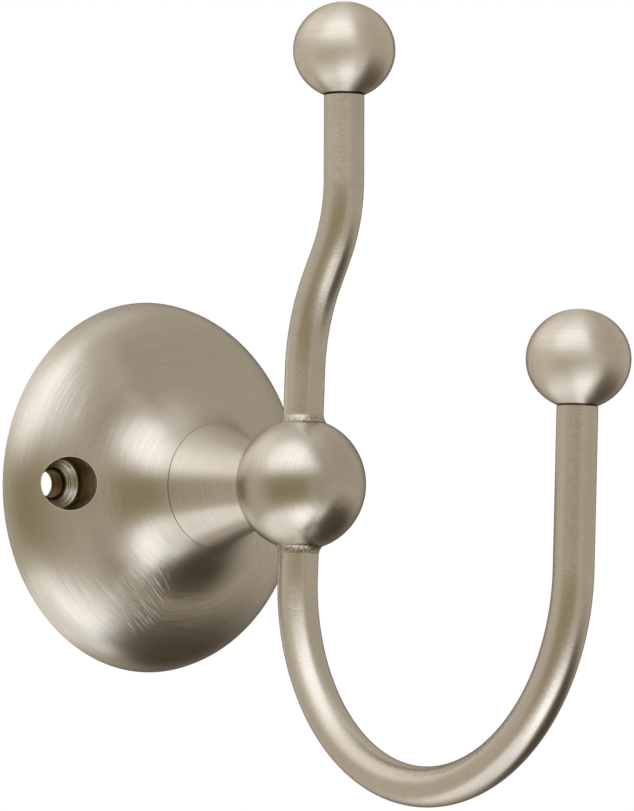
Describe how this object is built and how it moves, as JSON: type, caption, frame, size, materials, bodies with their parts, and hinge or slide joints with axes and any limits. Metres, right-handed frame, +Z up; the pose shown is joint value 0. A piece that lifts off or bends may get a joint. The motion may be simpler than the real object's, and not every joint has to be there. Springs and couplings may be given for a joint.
{
  "type": "double robe hook",
  "caption": "Wall-mounted double robe hook: a turned trumpet rosette and neck carry a ball with a bent round rod, an upright S stem above and a U hook below, ball tipped.",
  "frame": {"origin": "centre of the backplate's back face, on the wall", "axes": "+X across the wall, +Y into the wall, +Z up; the hook stands out towards -Y"},
  "size_m": [0.0744, 0.1407, 0.1587],
  "materials": {
    "plate_nickel": "satin nickel plate, brushed in rings",
    "neck_nickel": "satin nickel plate, brushed in rings",
    "ball_nickel": "satin nickel plate, brushed in rings",
    "rod_nickel": "satin nickel plate, brushed round the rod",
    "finial_nickel": "satin nickel plate, brushed in rings",
    "braze": "rough filler metal under nickel plate",
    "zinc_steel": "bright zinc"
  },
  "bodies": {
    "root": {"backplate": "plate_nickel", "neck": "neck_nickel", "centre_ball": "ball_nickel", "hook_rod": "rod_nickel", "upper_braze_bead": "braze", "lower_braze_bead": "braze", "top_finial_ball": "finial_nickel", "front_finial_ball": "finial_nickel", "assembly_screw": "zinc_steel", "lock_washer": "zinc_steel"}
  },
  "joints": []
}
